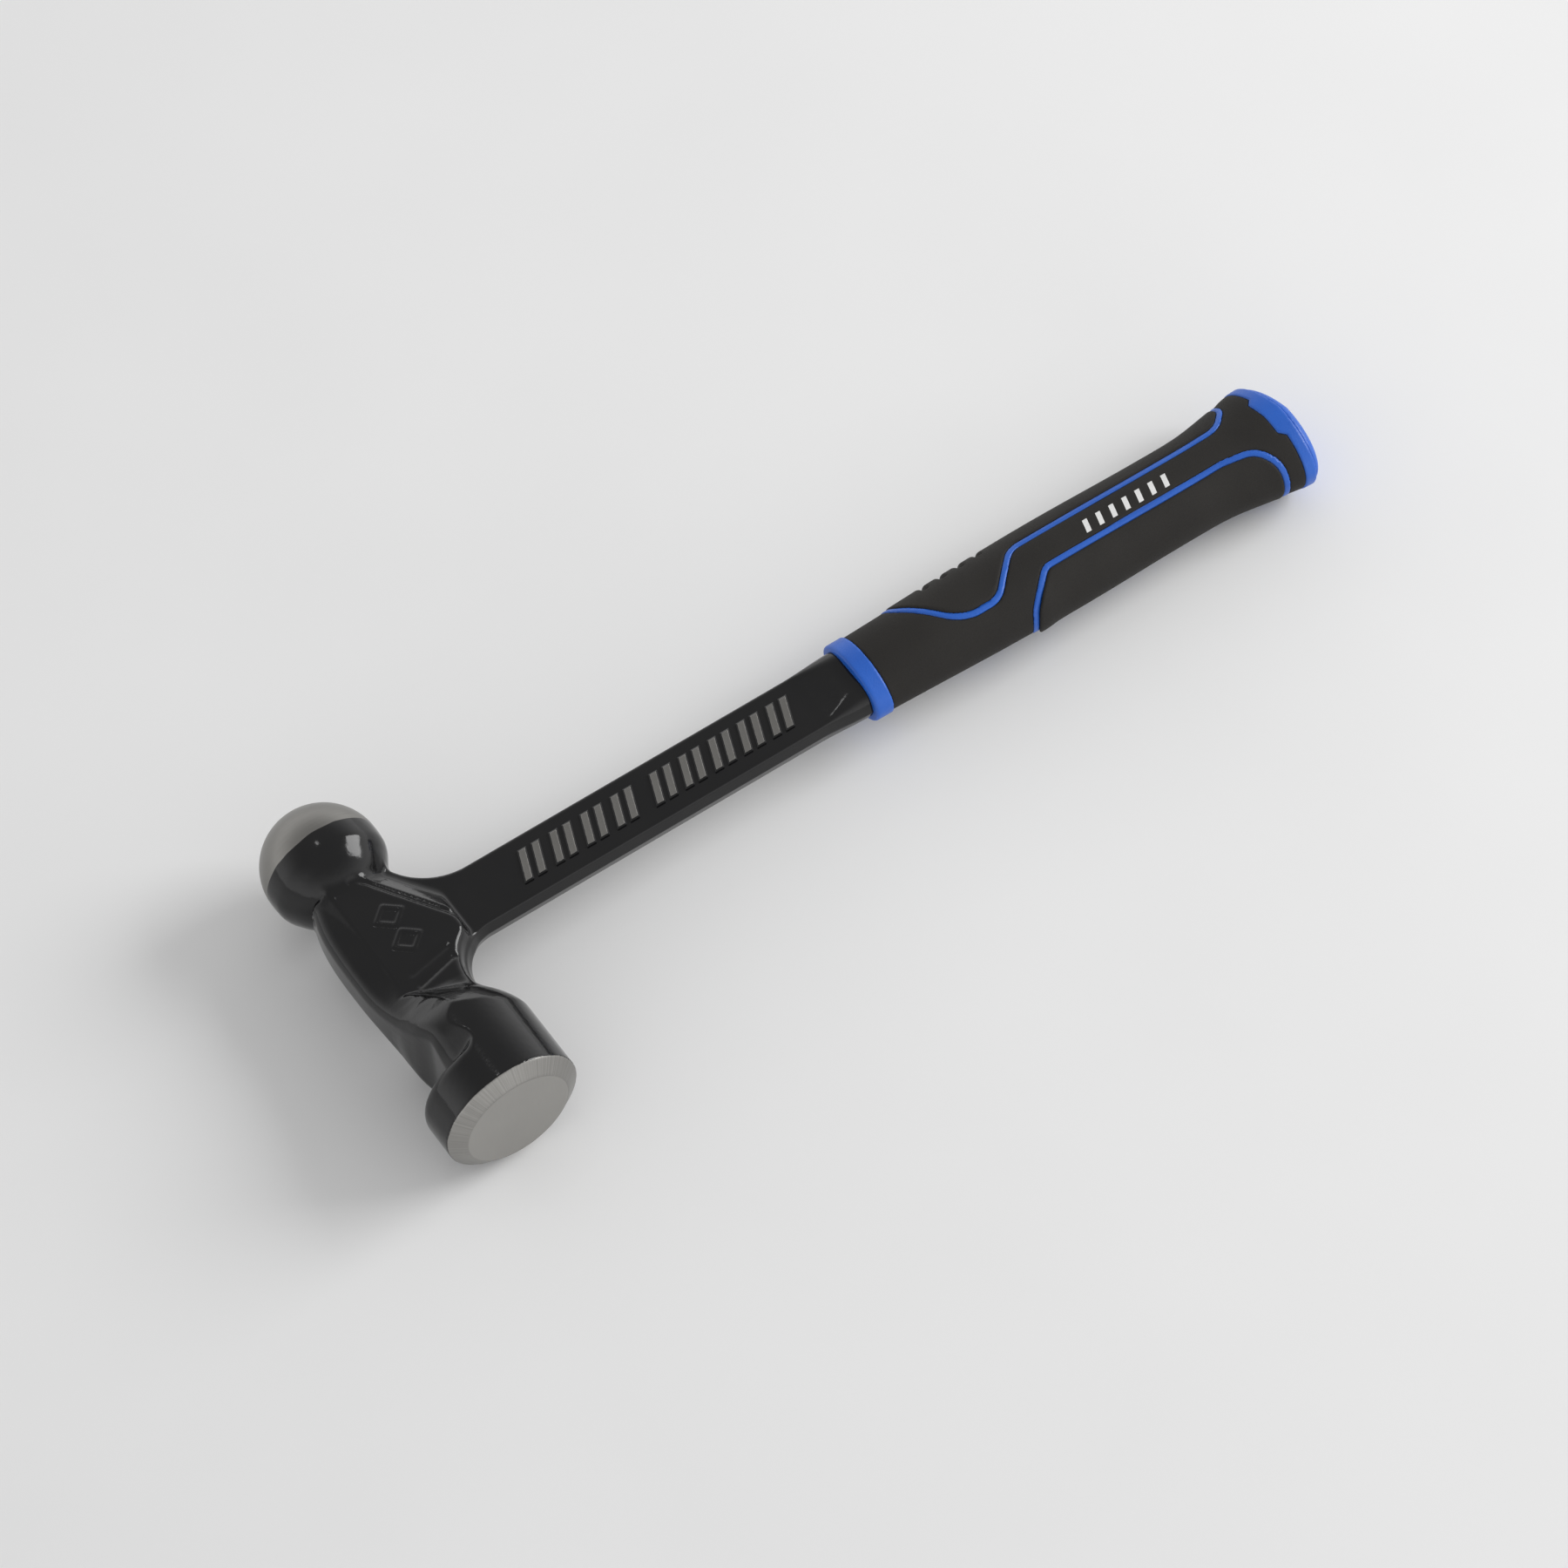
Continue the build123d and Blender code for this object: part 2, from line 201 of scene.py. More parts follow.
def surface_mesh(name, field, low, high, cell, passes=3):
    """Meshes the zero surface of a field by surface nets, then moves the vertices onto it."""
    low, high = np.array(low, float), np.array(high, float)
    counts = np.ceil((high - low) / cell).astype(int) + 1
    axes = [low[i] + cell * np.arange(counts[i]) for i in range(3)]
    values = field(axes[0][:, None, None], axes[1][None, :, None], axes[2][None, None, :])
    values = np.broadcast_to(values, counts).astype(np.float32)
    inside = values < 0
    count = np.zeros(counts - 1, np.uint8)
    for i, j, k in CORNERS:
        count += inside[
            i : i + counts[0] - 1, j : j + counts[1] - 1, k : k + counts[2] - 1
        ]
    cells = np.argwhere((count > 0) & (count < 8))
    corner_values = np.stack(
        [values[cells[:, 0] + i, cells[:, 1] + j, cells[:, 2] + k] for i, j, k in CORNERS], 1
    )
    total = np.zeros((len(cells), 3))
    hits = np.zeros(len(cells))
    for a in range(8):
        for b in range(a + 1, 8):
            step = np.array(CORNERS[b]) - np.array(CORNERS[a])
            if abs(step).sum() != 1:
                continue
            va, vb = corner_values[:, a], corner_values[:, b]
            crossed = (va < 0) != (vb < 0)
            t = np.where(crossed, va / np.where(crossed, va - vb, 1), 0)
            total += crossed[:, None] * (np.array(CORNERS[a]) + t[:, None] * step)
            hits += crossed
    points = low + cell * (cells + total / hits[:, None])
    index = np.full(counts - 1, -1, np.int64)
    index[tuple(cells.T)] = np.arange(len(cells))

    quads = []
    for axis in range(3):
        one, two = (axis + 1) % 3, (axis + 2) % 3
        first = [slice(None)] * 3
        second = [slice(None)] * 3
        first[axis], second[axis] = slice(0, -1), slice(1, None)
        a, b = inside[tuple(first)], inside[tuple(second)]
        edges = np.argwhere(a != b)
        edges = edges[(edges[:, one] > 0) & (edges[:, two] > 0)]
        edges = edges[(edges[:, one] < counts[one] - 1) & (edges[:, two] < counts[two] - 1)]
        leaving = a[tuple(edges.T)]
        ring = []
        for d_one, d_two in ((-1, -1), (0, -1), (0, 0), (-1, 0)):
            at = edges.copy()
            at[:, one] += d_one
            at[:, two] += d_two
            ring.append(index[tuple(at.T)])
        ring = np.stack(ring, 1)
        ring[~leaving] = ring[~leaving][:, ::-1]
        quads.append(ring)
    quads = np.concatenate(quads)

    reach = cell / 2
    for _ in range(passes):
        points = onto_surface(points, field, reach)
    return mesh_object(name, points, quads)


def onto_surface(points, field, reach):
    """One step of each point towards the field's zero surface."""
    h = 0.04
    at = field(*points.T)
    slope = np.stack(
        [
            (field(*(points + h * np.eye(3)[i]).T) - field(*(points - h * np.eye(3)[i]).T)) / (2 * h)
            for i in range(3)
        ],
        1,
    )
    size = (slope**2).sum(1) + 1e-3
    move = -at[:, None] * slope / size[:, None]
    length = np.linalg.norm(move, axis=1)[:, None] + 1e-9
    return points + move * np.minimum(1, reach / length)


def mesh_object(name, points, faces, smooth=True):
    """A mesh object from points in millimetres."""
    mesh = bpy.data.meshes.new(name)
    if isinstance(faces, np.ndarray):
        faces = faces.tolist()
    mesh.from_pydata((np.asarray(points) * MM).tolist(), [], faces)
    mesh.validate()
    if smooth:
        mesh.polygons.foreach_set("use_smooth", [True] * len(mesh.polygons))
    mesh.update()
    piece = bpy.data.objects.new(name, mesh)
    scene.collection.objects.link(piece)
    return piece


# ======================================================================
# Forging: ball, neck, cheeks, barrel and shank
# ======================================================================
ball_centre_y = head_length - ball_radius
neck_start_y = 60.0
neck_table = smooth_table(
    [
        (40, 8.0),
        (60, 8.0),
        (78, 8.2),
        (84.5, 8.8),
        (90, 10.6),
        (94, 13.8),
        (97, 17.0),
        (99.5, 18.0),
        (106, 17.0),
    ]
)
barrel_table = smooth_table(
    [
        (-5, barrel_radius),
        (26.2, barrel_radius),
        (28.5, 21.2),
        (31, 20.2),
        (34, 18.6),
        (37, 16.5),
        (40, 13.6),
        (42.5, 10.4),
        (44.5, 6.0),
        (47, 0.5),
        (50, -8),
    ]
)
# The crown's flank, by place along the head from the handle's centre line: how far it is
# from the axis, the height of its top edge, and the slope that rises from that edge.
flank_table = smooth_table(
    [
        (-60, 9.8),
        (-50, 9.8),
        (-41, 9.6),
        (-33, 12.0),
        (-26, 13.9),
        (-8, 15.7),
        (12.5, 14.8),
        (25.5, 11.3),
        (31, 9.0),
    ]
)
flank_height_table = smooth_table(
    [(-60, 13.0), (-51, 13.0), (-46.5, 13.5), (-40, 17.0), (-30, 12.0), (-18, 7.7), (0, 7.2), (31, 6.8)]
)
flank_slope_table = smooth_table(
    [(-60, 0.9), (-46, 0.9), (-40, 0.62), (-30, 0.45), (-18, 0.31), (31, 0.31)]
)
flank_round = 3.4
cheek_edge_x = -6.5
bevel_slope = 0.61
# Rows of x and of v: where the barrel's full round ends, and where the cheek turns up to it.
rim_end = ((-9.5, -4.7, -1.7, -0.4, 1.2), (-51.0, -50.5, -49.5, -46.2, -42.0))
rim_round = 2.2
rim_slope = 0.7
rear_slope = 0.85
rear_foot = ((-6.0, -3.0, 3.2, 14.0), (-20.2, -21.3, -25.2, -33.6))
upper_neck_radius, upper_neck = 20.0, (32.5, 31.1)
lower_neck_radius, lower_neck = 14.0, (28.0, -25.1)
shank_draft = tan(radians(15))
shank_grow = 2.8  # extra half thickness at the collar
shank_widen = 1.1
shank_round, shank_round_growth = 0.7, 5.0
cheek_corner = (-0.5, 21.5)  # centre of the curve round the cheek's corner by the ball
cheek_corner_radius = 6.0
# The web starts inside the head, and the shank runs on a little inside the collar.
web_start_x, web_reach, shank_overlap = -5.0, 45.0, 1.5
# The step down from the cheek's flat to the web: ends of the line along its foot.
ramp_foot = ((11.0, 21.5), (32.5, -11.1))
ramp_width = 6.6
crease_line = [(0.2, 20.6), (2.0, 20.6), (4.6, 18.2), (16.4, 0.0), (23.6, -11.0)]
short_crease = [(-1.4, -20.2), (11.6, -17.0)]
faint_crease = [(-1.4, -15.6), (11.6, -13.2)]
diamond_x, diamond_half_x, diamond_half_v = 3.7, 4.4, 3.8
diamonds = [
    [
        (diamond_x + diamond_half_x * cos(turned_by), centre_v + diamond_half_v * sin(turned_by))
        for turned_by in (0, pi / 2, pi, 3 * pi / 2, 2 * pi)
    ]
    for centre_v in (-5.0, 4.8)
]


def web_outline(x, v):
    """Plan outline of the web and shank."""
    upper_round = upper_neck_radius - np.hypot(x - upper_neck[0], v - upper_neck[1])
    upper = np.where(x > upper_neck[0], v - shank_half_width, upper_round)
    upper = np.where(v > upper_neck[1], x - upper_neck[0] + upper_neck_radius, upper)
    lower_round = lower_neck_radius - np.hypot(x - lower_neck[0], v - lower_neck[1])
    lower = np.where(x > lower_neck[0], -shank_half_width - v, lower_round)
    lower = np.where(v < lower_neck[1], x - lower_neck[0] + lower_neck_radius, lower)
    return np.maximum(upper, lower)


def forging(x, y, z):
    """Field of the whole forging."""
    v = y - handle_y
    up = np.abs(z)
    r = np.hypot(x, z)

    ball = np.hypot(r, y - ball_centre_y) - ball_radius
    neck = turned(r, y, neck_table)
    neck = np.maximum(neck, np.maximum(neck_start_y - y, y - ball_centre_y))
    ball = join(ball, neck, 1.5)

    # Cheek: flat, then a bevel and a slope down to the crown's blunt flank. Towards the
    # barrel the slope climbs, and the flat turns up into the barrel's rear.
    flank = 0.98 * (-x - np.interp(v, *flank_table))
    edge_height = np.interp(v, *flank_height_table)
    edge_slope = np.interp(v, *flank_slope_table)
    edge_x = -np.interp(v, *flank_table)
    slope_top = edge_height + edge_slope * (x - edge_x)
    bevel_top = cheek_half_thickness + bevel_slope * (x - cheek_edge_x)
    facet_top = np.where(v > -30.0, np.maximum(slope_top, bevel_top), slope_top)
    facet = (up - facet_top) / np.sqrt(1 + 0.5 * (edge_slope**2 + bevel_slope**2))
    behind = np.interp(x, *rear_foot) - v
    rear_top = cheek_half_thickness + rear_slope * np.maximum(behind, 0)
    cheek = (up - rear_top) / np.where(behind > 0, np.sqrt(1 + rear_slope**2), 1)
    cheek = meet(cheek, facet, 0.5)
    cheek = meet(cheek, r - barrel_radius, 1.0)
    cheek = meet(cheek, flank, flank_round)
    cheek = np.maximum(cheek, rim_end[1][0] - v)
    along = np.array(ramp_foot[1]) - np.array(ramp_foot[0])
    along = along / np.linalg.norm(along)
    to_crown = (x - ramp_foot[0][0]) * along[1] - (v - ramp_foot[0][1]) * along[0]
    slope = (cheek_half_thickness - shank_half_thickness) / ramp_width
    ramp = (up - shank_half_thickness - slope * to_crown) / np.sqrt(1 + slope**2)
    cheek = meet(cheek, ramp, 0.9)
    outline = web_outline(x, v)
    drafted = (outline + up * shank_draft) / np.sqrt(1 + shank_draft**2)
    cheek = meet(cheek, drafted, 2.5)
    corner_u, corner_v = x - cheek_corner[0], v - cheek_corner[1]
    ball_end = np.where(
        (corner_u < 0) & (corner_v > 0), np.hypot(corner_u, corner_v), corner_v
    ) - cheek_corner_radius
    cheek = meet(cheek, ball_end, 1.0)

    # Creases and the two raised diamonds on the flat, each with its depth and half width.
    on_flat = np.clip((up - 7.5) / 1.5, 0, 1)
    for line, depth, half_width, power in (
        (crease_line, 0.75, 0.85, 4),
        (short_crease, 0.6, 0.9, 2),
        (faint_crease, 0.3, 1.0, 2),
        *((diamond, -0.5, 0.65, 4) for diamond in diamonds),
    ):
        near = line_distance(x, v, line)
        cheek = cheek + on_flat * depth * np.exp(-((near / half_width) ** power))

    # Barrel: striking face, ground chamfer, rounded rear, trimmed on the crown side.
    core = turned(r, y, barrel_table)
    core = meet(core, facet, 1.0)
    core = meet(core, flank, flank_round)
    rim = meet(r - barrel_radius, (v - np.interp(x, *rim_end)) * rim_slope, rim_round)
    barrel = join(rim, core, 0.5)
    chamfer_dr = barrel_radius - face_radius
    chamfer = (face_chamfer_length * (r - face_radius) - chamfer_dr * y) / np.hypot(
        face_chamfer_length, chamfer_dr
    )
    barrel = meet(barrel, chamfer, 0.25)
    barrel = meet(barrel, -y, 0.25)

    # Web and shank, thicker towards the grip.
    thicken = np.clip((x - flare_x) / (collar_x - flare_x), 0, 1)
    thicken = thicken * thicken * (3 - 2 * thicken)
    half = shank_half_thickness + shank_grow * thicken
    edge_round = shank_round + shank_round_growth * thicken
    shank = meet(drafted - shank_widen * thicken, up - half, edge_round)
    shank = np.maximum(shank, web_start_x - x)
    shank = np.maximum(shank, np.maximum(v - upper_neck[1], -web_reach - v))
    shank = np.maximum(shank, x - (collar_x + shank_overlap))

    body = np.maximum(join(cheek, barrel, 3.0), r - barrel_radius)
    body = join(body, shank, 1.6)
    body = join(body, ball, 2.5)
    return body


forging_cell, grip_cell = 0.56, 0.55
head_reach = 23.4
forging_piece = surface_mesh(
    "hammer_forging",
    forging,
    (-head_reach, -1.0, -head_reach),
    (collar_x + 3, head_length + 1.0, head_reach),
    forging_cell,
)

# Pairs of plain slanted bars on both sides of the shank, bare on top.
mark_places = (49.0, 59.8, 70.5, 81.0, 94.6, 104.8, 115.2, 125.4, 135.6)
mark_length, mark_width, mark_gap, mark_slant = 10.5, 2.9, 1.7, 4.0
mark_height = 0.8
mark_bevel = 0.3
mark_inset = 0.5


def slanted_bar(x, y_middle, side):
    """Rings of a bevelled bar standing on the shank."""
    rings = []
    for inset, up in ((-0.1, -0.2), (-0.1, mark_height - mark_bevel), (mark_inset, mark_height)):
        half_w = mark_width / 2 - inset
        half_l = mark_length / 2 - inset
        lean = mark_slant / 2 * half_l / (mark_length / 2)
        z = side * (shank_half_thickness + up)
        rings.append(
            [
                (x - half_w - lean, y_middle - half_l, z),
                (x + half_w - lean, y_middle - half_l, z),
                (x + half_w + lean, y_middle + half_l, z),
                (x - half_w + lean, y_middle + half_l, z),
            ]
        )
    return rings


mark_points, mark_faces = [], []
for side in (1, -1):
    for place in mark_places:
        for shift in (-1, 1):
            rings = slanted_bar(place + shift * (mark_width + mark_gap) / 2, handle_y, side)
            start = len(mark_points)
            for ring in rings:
                mark_points.extend(ring)
            for level in range(2):
                for n in range(4):
                    a = start + level * 4 + n
                    b = start + level * 4 + (n + 1) % 4
                    face = [a, b, b + 4, a + 4]
                    mark_faces.append(face if side > 0 else face[::-1])
            top = [start + 8 + n for n in range(4)]
            mark_faces.append(top if side > 0 else top[::-1])
            bottom = [start + n for n in range(4)][::-1]
            mark_faces.append(bottom if side > 0 else bottom[::-1])
marks = mesh_object("shank_marks", mark_points, mark_faces, smooth=False)

# ======================================================================
# Grip
# ======================================================================
grip_stations = (
    (collar_x, 13.6, 9.0),
    (182.0, 14.0, 10.6),
    (206.0, 14.8, 11.3),
    (235.0, 15.2, 11.8),
    (275.0, 14.7, 11.4),
    (290.0, 15.0, 11.5),
    (302.0, 16.8, 12.3),
    (flange_x, 19.0, 13.4),
    (cap_x, 19.2, 13.6),
)
width_table = smooth_table([(x, w) for x, w, _ in grip_stations])
thickness_table = smooth_table([(x, t) for x, _, t in grip_stations])
skin = 2.0
panel_rise = 0.5
line_width = 1.9
line_rise = 0.2
out_of_grip = 30.0

back_outline = rounded(
    [
        (180.0, out_of_grip),
        (182.3, 10.5),
        (196.5, -6.3),
        (210.0, -6.4),
        (222.5, 6.1),
        (299.0, 6.1),
        (304.8, 12.0),
        (304.8, out_of_grip),
    ],
    (10, 14, 8, 8, 8, 5),
)
palm_outline = rounded(
    [
        (215.0, -out_of_grip),
        (217.3, -14.5),
        (227.5, -5.4),
        (292.0, -5.2),
        (303.0, -7.2),
        (308.0, -14.0),
        (308.2, -out_of_grip),
    ],
    (6, 5, 20, 10, 10),
)
pad_x, pad_half_width, pad_slope = 312.2, 6.5, 2.0
rib_first_x, rib_pitch, rib_count = 195.4, 6.6, 4
rib_start_v, rib_half_height = 8.0, 8.5
rib_depth, rib_half_width = 1.5, 1.1
swell_x, swell_length, swell_rise = 220.0, 5.0, 0.6
butt_lean = 0.17
lean_start_x, lean_length = 303.0, 11.0
flange_outline = [
    (flange_x, -out_of_grip),
    (flange_x, -pad_half_width - pad_slope),
    (pad_x, -pad_half_width),
    (pad_x, pad_half_width),
    (flange_x, pad_half_width + pad_slope),
    (flange_x, out_of_grip),
    (cap_x + 5, out_of_grip),
    (cap_x + 5, -out_of_grip),
]


def grip_form(x, y, z, rise):
    """Field of the grip's outer form, grown by rise."""
    half_w = np.interp(x, *width_table) + rise
    half_t = np.interp(x, *thickness_table) + rise
    return oval(y - handle_y, z, half_w, half_t)


def sleeve_field(x, y, z):
    v = y - handle_y
    body = grip_form(x, y, z, 0)
    back = region_distance(x, v, back_outline) - line_width / 2
    palm = region_distance(x, v, palm_outline) - line_width / 2
    flange = region_distance(x, v, flange_outline)
    edge = 0.35
    body = meet(body, -grip_form(x, y, z, -skin), 0.2)
    body = meet(body, -back, edge)
    body = meet(body, -palm, edge)
    body = meet(body, -flange, edge)
    return meet(body, sleeve_x - x, 0.2)


def panel_field(outline):
    def field(x, y, z):
        v = y - handle_y
        swell = swell_rise * np.exp(-(((x - swell_x) / swell_length) ** 2))
        body = grip_form(x, y, z, panel_rise) - swell * np.clip(-v / 12.0, 0, 1)
        if outline is back_outline:
            on_ribs = np.clip((v - rib_start_v) / 1.5, 0, 1)
            on_ribs = on_ribs * np.clip(rib_half_height - np.abs(z), 0, 1)
            step = (x - rib_first_x) / rib_pitch
            near = np.abs(step - np.clip(np.round(step), 0, rib_count - 1)) * rib_pitch
            body = body + on_ribs * rib_depth * np.exp(-((near / rib_half_width) ** 4))
        zone = region_distance(x, v, outline) + line_width / 2
        body = meet(body, zone, 0.9)
        return meet(body, -grip_form(x, y, z, -skin), 0.2)

    return field


def core_field(x, y, z):
    v = y - handle_y
    back = np.abs(region_distance(x, v, back_outline)) - line_width / 2
    palm = np.abs(region_distance(x, v, palm_outline)) - line_width / 2
    flange = region_distance(x, v, flange_outline)
    skin_lines = meet(grip_form(x, y, z, line_rise), np.minimum(back, palm), 0.3)
    butt = meet(grip_form(x, y, z, line_rise), np.maximum(flange, x - cap_x), 0.4)
    collar = oval(v, z, 14.3, 9.7)
    collar = meet(collar, collar_x - x, 1.0)
    collar = meet(collar, x - sleeve_x, 0.3)
    core = meet(grip_form(x, y, z, 0.1 - skin), collar_x + 0.4 - x, 0.2)
    core = np.maximum(core, x - cap_x)
    body = np.minimum(np.minimum(skin_lines, butt), np.minimum(collar, core))
    return body


def cap_field(x, y, z):
    v = y - handle_y
    along = np.clip((x - cap_x) / (butt_x - cap_x), 0, 0.999)
    shrink = (1 - along**2) ** 0.25
    body = oval(v, z, 18.6 * shrink, 13.0 * shrink)
    return meet(body, np.maximum(cap_x - x, x - butt_x + 0.02), 0.3)


grip_half_y, grip_half_z = 20.8, 15.2
grip_low = (collar_x - 1.5, handle_y - grip_half_y, -grip_half_z)
grip_high = (cap_x + 1.5, handle_y + grip_half_y, grip_half_z)
core_piece = surface_mesh("grip_blue_core", core_field, grip_low, grip_high, grip_cell)
sleeve_piece = surface_mesh("grip_black_sleeve", sleeve_field, grip_low, grip_high, grip_cell)
back_piece = surface_mesh(
    "grip_back_panel_rubber",
    panel_field(back_outline),
    (176.0, handle_y - 8, -grip_half_z),
    (308.0, handle_y + grip_half_y, grip_half_z),
    grip_cell,
)
palm_piece = surface_mesh(
    "grip_palm_panel_rubber",
    panel_field(palm_outline),
    (212.0, handle_y - grip_half_y, -grip_half_z),
    (311.0, handle_y - 2, grip_half_z),
    grip_cell,
)
cap_piece = surface_mesh(
    "butt_cap_blue",
    cap_field,
    (cap_x - 1.5, handle_y - grip_half_y, -grip_half_z),
    (butt_x + 1.5, handle_y + grip_half_y, grip_half_z),
    grip_cell,
)

# The butt leans: on the ball's side its flange stands nearer the head.
for piece in (core_piece, sleeve_piece, back_piece, palm_piece, cap_piece):
    mesh = piece.data
    place = np.empty(len(mesh.vertices) * 3)
    mesh.vertices.foreach_get("co", place)
    place = place.reshape(-1, 3)
    share = np.clip((place[:, 0] / MM - lean_start_x) / lean_length, 0, 1)
    towards_ball = np.maximum(place[:, 1] - handle_y * MM, 0)
    place[:, 0] -= butt_lean * towards_ball * share * share * (3 - 2 * share)
    mesh.vertices.foreach_set("co", place.ravel())
    mesh.update()

# A row of small slanted dashes is printed on the upper face's band.
print_points, print_faces = [], []
dash_count, dash_first_x, dash_pitch = 7, 246.0, 4.8
dash_v, dash_length, dash_half_width, dash_slant = -0.7, 4.4, 0.85, 1.2
ink_rise = 0.05
for n in range(dash_count):
    for step in range(5):
        share = step / 4
        v = dash_v + dash_length * (share - 0.5)
        for side in (-1, 1):
            x = dash_first_x + n * dash_pitch + side * dash_half_width
            x += dash_slant * (share - 0.5)
            half_w = float(np.interp(x, *width_table))
            half_t = float(np.interp(x, *thickness_table))
            z = half_t * np.sqrt(1 - (v / half_w) ** 2) + ink_rise
            print_points.append((x, handle_y + v, z))
    base = n * 10
    for step in range(4):
        a = base + step * 2
        print_faces.append([a, a + 1, a + 3, a + 2])
print_piece = mesh_object("grip_print_dashes", print_points, print_faces)


# ======================================================================
# Materials
# ======================================================================
class Nodes:
    """Short names for building one material's node tree."""

    def __init__(self, name):
        self.material = bpy.data.materials.new(name)
        self.material.use_nodes = True
        self.tree = self.material.node_tree
        self.tree.nodes.clear()
        self.out = self.tree.nodes.new("ShaderNodeOutputMaterial")
        self.shader = self.tree.nodes.new("ShaderNodeBsdfPrincipled")
        self.tree.links.new(self.shader.outputs[0], self.out.inputs["Surface"])
        self.place = self.tree.nodes.new("ShaderNodeTexCoord").outputs["Object"]

    def link(self, source, target):
        self.tree.links.new(source, target)

    def math(self, operation, a, b=0.0, clamp=False):
        node = self.tree.nodes.new("ShaderNodeMath")
        node.operation = operation
        node.use_clamp = clamp
        for socket, value in zip(node.inputs, (a, b)):
            if isinstance(value, (int, float)):
                socket.default_value = value
            else:
                self.link(value, socket)
        return node.outputs[0]

    def split(self, vector):
        node = self.tree.nodes.new("ShaderNodeSeparateXYZ")
        self.link(vector, node.inputs[0])
        return node.outputs

    def combine(self, x, y, z):
        node = self.tree.nodes.new("ShaderNodeCombineXYZ")
        for socket, value in zip(node.inputs, (x, y, z)):
            if isinstance(value, (int, float)):
                socket.default_value = value
            else:
                self.link(value, socket)
        return node.outputs[0]

    def noise(self, scale, detail=3.0, vector=None, stretch=None, roughness=0.5):
        source = vector or self.place
        if stretch:
            mapping = self.tree.nodes.new("ShaderNodeMapping")
            mapping.inputs["Scale"].default_value = stretch
            self.link(source, mapping.inputs["Vector"])
            source = mapping.outputs[0]
        node = self.tree.nodes.new("ShaderNodeTexNoise")
        node.inputs["Scale"].default_value = scale
        node.inputs["Detail"].default_value = detail
        node.inputs["Roughness"].default_value = roughness
        self.link(source, node.inputs["Vector"])
        return node.outputs["Fac"]

    def spread(self, value, from_low, from_high, to_low, to_high):
        node = self.tree.nodes.new("ShaderNodeMapRange")
        self.link(value, node.inputs["Value"])
        for name, number in (
            ("From Min", from_low),
            ("From Max", from_high),
            ("To Min", to_low),
            ("To Max", to_high),
        ):
            node.inputs[name].default_value = number
        return node.outputs[0]

    def colours(self, factor, a, b):
        node = self.tree.nodes.new("ShaderNodeMix")
        node.data_type = "RGBA"
        for socket, value in ((node.inputs[0], factor), (node.inputs[6], a), (node.inputs[7], b)):
            if isinstance(value, tuple):
                socket.default_value = (*value, 1)
            elif isinstance(value, (int, float)):
                socket.default_value = value
            else:
                self.link(value, socket)
        return node.outputs[2]

    def blend(self, factor, a, b):
        node = self.tree.nodes.new("ShaderNodeMix")
        for socket, value in ((node.inputs[0], factor), (node.inputs[2], a), (node.inputs[3], b)):
            if isinstance(value, (int, float)):
                socket.default_value = value
            else:
                self.link(value, socket)
        return node.outputs[0]

    def bump(self, height, distance, strength=1.0):
        node = self.tree.nodes.new("ShaderNodeBump")
        node.inputs["Distance"].default_value = distance
        node.inputs["Strength"].default_value = strength
        self.link(height, node.inputs["Height"])
        self.link(node.outputs[0], self.shader.inputs["Normal"])


def steel_look(n):
    """(colour, roughness, height) of ground bare steel, with marks that follow the grinding."""
    parts = n.split(n.place)
    across = n.math("MULTIPLY", parts[0], parts[0])
    radius = n.math("SQRT", n.math("ADD", across, n.math("MULTIPLY", parts[2], parts[2])))
    angle = n.math("ARCTAN2", parts[2], parts[0])
    turned_place = n.combine(radius, parts[1], n.math("MULTIPLY", angle, 0.004))
    around = n.noise(420.0, 4.0, vector=turned_place, stretch=(9.0, 9.0, 1.0))
    fanned_place = n.combine(n.math("MULTIPLY", radius, 0.12), parts[1], angle)
    radial = n.noise(34.0, 4.0, vector=fanned_place, stretch=(1.0, 0.4, 1.0))
    straight = n.noise(1500.0, 4.0, stretch=(1.0, 1.0, 0.12))
    on_chamfer = n.spread(radius, 0.0168, 0.0171, 0, 1)
    on_chamfer = n.math("MULTIPLY", on_chamfer, n.spread(parts[1], 0.02, 0.03, 1, 0))
    on_ball = n.spread(parts[1], 0.06, 0.061, 0, 1)
    straight = n.blend(0.65, straight, 0.5)
    around = n.blend(0.35, around, 0.5)
    fine = n.blend(on_ball, n.blend(on_chamfer, straight, radial), around)
    cloud = n.noise(60.0, 3.0)
    colour = n.colours(n.spread(fine, 0.3, 0.7, 0, 1), (0.25, 0.244, 0.232), (0.37, 0.362, 0.345))
    colour = n.colours(n.spread(cloud, 0.35, 0.75, 0, 0.35), colour, (0.22, 0.215, 0.205))
    on_face = n.spread(radius, 0.0166, 0.0168, 1, 0)
    on_face = n.math("MULTIPLY", on_face, n.spread(parts[1], 0.002, 0.003, 1, 0))
    colour = n.colours(n.math("MULTIPLY", on_face, 0.6), colour, (0.42, 0.41, 0.39))
    colour = n.colours(n.math("MULTIPLY", on_ball, 0.45), colour, (0.17, 0.165, 0.155))
    rough = n.spread(fine, 0.25, 0.75, 0.30, 0.46)
    return colour, rough, fine


